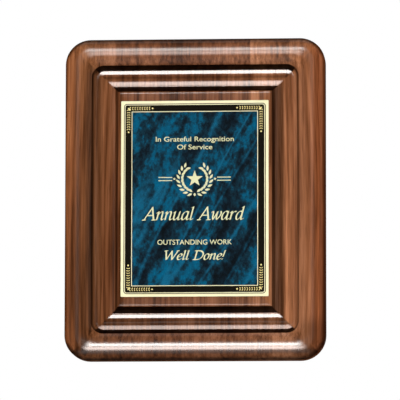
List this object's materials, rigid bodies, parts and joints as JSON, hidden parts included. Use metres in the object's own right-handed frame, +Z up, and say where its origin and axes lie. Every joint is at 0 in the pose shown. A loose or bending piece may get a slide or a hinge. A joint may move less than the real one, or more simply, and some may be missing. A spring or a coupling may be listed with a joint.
{
  "type": "wall plaque",
  "caption": "Rectangular walnut wall plaque with a moulded rim, a double-hollow groove and a raised panel carrying an engraved brass plate, with a keyhole hanger let into the back.",
  "frame": {"origin": "centre of the board's flat back face", "axes": "+X to the right for someone facing the plaque, +Z up along its height, the moulded front faces -Y"},
  "size_m": [0.2666, 0.0269, 0.3302],
  "materials": {
    "walnut": "walnut, vertical grain, clear gloss lacquer",
    "engraved_brass": "polished brass with a screened black border and a blue marbled field, engraved through to the brass",
    "tape": "double-sided mounting tape, off-white",
    "hanger_steel": "zinc-plated sheet steel",
    "screw_steel": "yellow-passivated steel",
    "felt": "dark brown wool felt"
  },
  "bodies": {
    "root": {"stave_left": "walnut", "stave_centre_left": "walnut", "stave_centre_right": "walnut", "stave_right": "walnut", "engraving_plate": "engraved_brass", "tape_strip_upper": "tape", "tape_strip_middle": "tape", "tape_strip_lower": "tape", "keyhole_hanger": "hanger_steel", "hanger_screw_upper": "screw_steel", "hanger_screw_lower": "screw_steel", "bumper_upper_left": "felt", "bumper_upper_right": "felt", "bumper_lower_left": "felt", "bumper_lower_right": "felt"}
  },
  "joints": []
}
